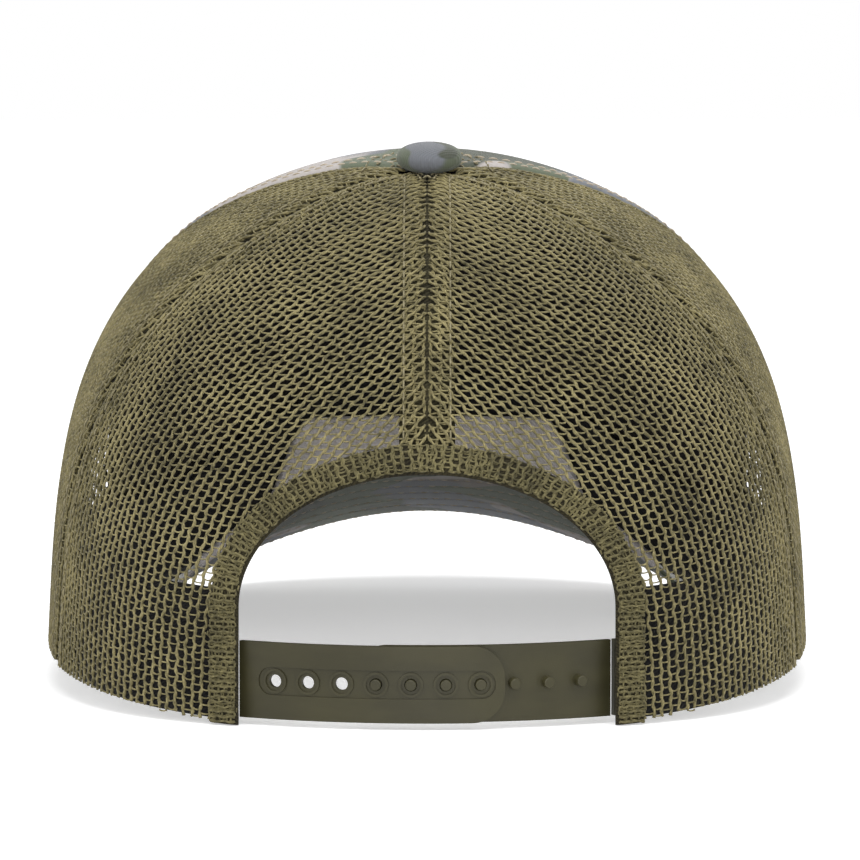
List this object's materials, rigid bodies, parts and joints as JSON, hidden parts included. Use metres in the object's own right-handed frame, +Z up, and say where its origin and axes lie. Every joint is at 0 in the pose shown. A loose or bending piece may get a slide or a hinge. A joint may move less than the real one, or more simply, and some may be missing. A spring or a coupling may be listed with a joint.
{
  "type": "cap",
  "caption": "Cap with a fabric front, an open knit mesh back, a curved visor, a covered top button and a snap strap of two plastic bands across a rear arch.",
  "frame": {"origin": "centre of the head opening, on the plane that the cap rests on", "axes": "+Z up towards the button, +Y forwards along the visor, +X to the wearer's right"},
  "size_m": [0.175, 0.2661, 0.1225],
  "materials": {
    "knit_mesh": "open olive polyester knit with hexagonal holes",
    "camo_fabric": "woven twill, printed with soft blobs of grey, green and slate",
    "buckram": "stiff dark lining",
    "seam_tape": "woven olive tape",
    "sweatband_cloth": "black brushed twill",
    "pad_cloth": "light grey padded cloth",
    "strap_plastic": "moulded olive plastic, satin",
    "board_plastic": "plain moulded sheet",
    "button_metal": "pressed"
  },
  "bodies": {
    "cap": {"arch_hem": "knit_mesh", "rear_mesh_left": "knit_mesh", "rear_mesh_right": "knit_mesh", "side_mesh_left": "knit_mesh", "side_mesh_right": "knit_mesh", "front_panel_left": "camo_fabric", "front_panel_right": "camo_fabric", "buckram_left": "buckram", "buckram_right": "buckram", "rear_side_tape_left": "seam_tape", "rear_side_tape_right": "seam_tape", "front_side_tape_left": "seam_tape", "front_side_tape_right": "seam_tape", "rear_centre_tape": "seam_tape", "front_centre_tape": "seam_tape", "sweatband": "sweatband_cloth", "forehead_pad": "pad_cloth", "visor_board": "board_plastic", "visor_top_cover": "camo_fabric", "visor_under_cover": "camo_fabric", "button_cover": "camo_fabric", "button_shell": "button_metal", "button_washer": "button_metal", "snap_strap_left_tab": "strap_plastic", "snap_strap_right_tab": "strap_plastic"},
    "left_strap": {"snap_strap_left": "strap_plastic"},
    "right_strap": {"snap_strap_right": "strap_plastic"}
  },
  "joints": [
    {"name": "left_strap_swing", "type": "hinge", "parent": "cap", "child": "left_strap", "pos_m": [-0.04082, -0.09086, 0.00995], "axis": [0, 0, -1], "range_deg": [0, 50], "stiffness_Nm_per_rad": 0.01},
    {"name": "right_strap_swing", "type": "hinge", "parent": "cap", "child": "right_strap", "pos_m": [0.03995, -0.08928, 0.00995], "axis": [0, 0, -1], "range_deg": [0, 45], "stiffness_Nm_per_rad": 0.01}
  ]
}
